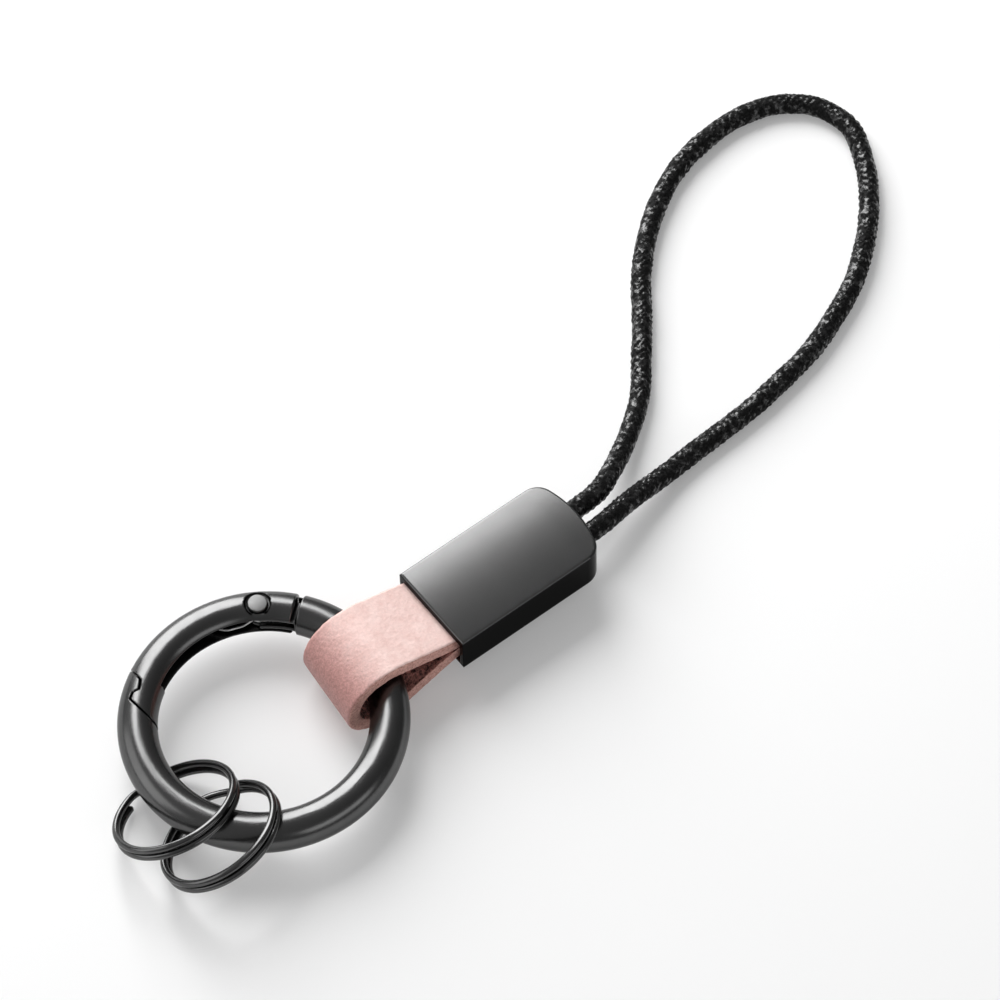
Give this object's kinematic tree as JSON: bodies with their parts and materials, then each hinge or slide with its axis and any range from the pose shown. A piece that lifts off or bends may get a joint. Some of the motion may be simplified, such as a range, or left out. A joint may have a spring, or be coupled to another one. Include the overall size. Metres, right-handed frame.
{
  "type": "key ring",
  "caption": "Round sprung-gate ring with nested split rings, held by a folded leather strap in a metal clasp with a corded wrist loop.",
  "frame": {"origin": "centre of the clasp's flat back face", "axes": "+X along the clasp from its mouth to its cord end, +Z out of its front face, +Y to the gate's side of the main ring"},
  "size_m": [0.1351, 0.0539, 0.0101],
  "materials": {
    "gunmetal_plate": "satin dark nickel plate",
    "pink_leather": "fine grained",
    "steel": "plain",
    "aluminium": "plain",
    "waxed_cord": "waxed braid",
    "dark_steel": "satin black nickel plate"
  },
  "bodies": {
    "clasp": {"housing": "gunmetal_plate", "leather_strap": "pink_leather", "strap_pin": "steel", "cord_crimp": "aluminium", "cord_loop": "waxed_cord"},
    "main_ring": {"ring_body": "gunmetal_plate", "hinge_pin": "steel", "gate_spring": "steel"},
    "gate": {"ring_gate": "gunmetal_plate"},
    "left_split_ring": {"split_ring_left": "dark_steel"},
    "right_split_ring": {"split_ring_right": "dark_steel"}
  },
  "joints": [
    {"name": "ring_swing", "type": "hinge", "parent": "clasp", "child": "main_ring", "pos_m": [-0.0204, 0.0003, 0.0031], "axis": [0.0872, 0.9962, 0], "range_deg": [-150, 150]},
    {"name": "gate_hinge", "type": "hinge", "parent": "main_ring", "child": "gate", "pos_m": [-0.02641, 0.01386, 0.0031], "axis": [0, 0, 1], "range_deg": [0, 45], "stiffness_Nm_per_rad": 0.006, "springref_deg": -68.75, "deforming": ["gate_spring"]},
    {"name": "left_split_ring_slide", "type": "hinge", "parent": "main_ring", "child": "left_split_ring", "pos_m": [-0.03463, 0.00154, 0.0031], "axis": [0, 0, 1], "range_deg": [0, 60]},
    {"name": "right_split_ring_slide", "type": "hinge", "parent": "left_split_ring", "child": "right_split_ring", "pos_m": [-0.03463, 0.00154, 0.0031], "axis": [0, 0, 1], "range_deg": [0, 18]}
  ]
}
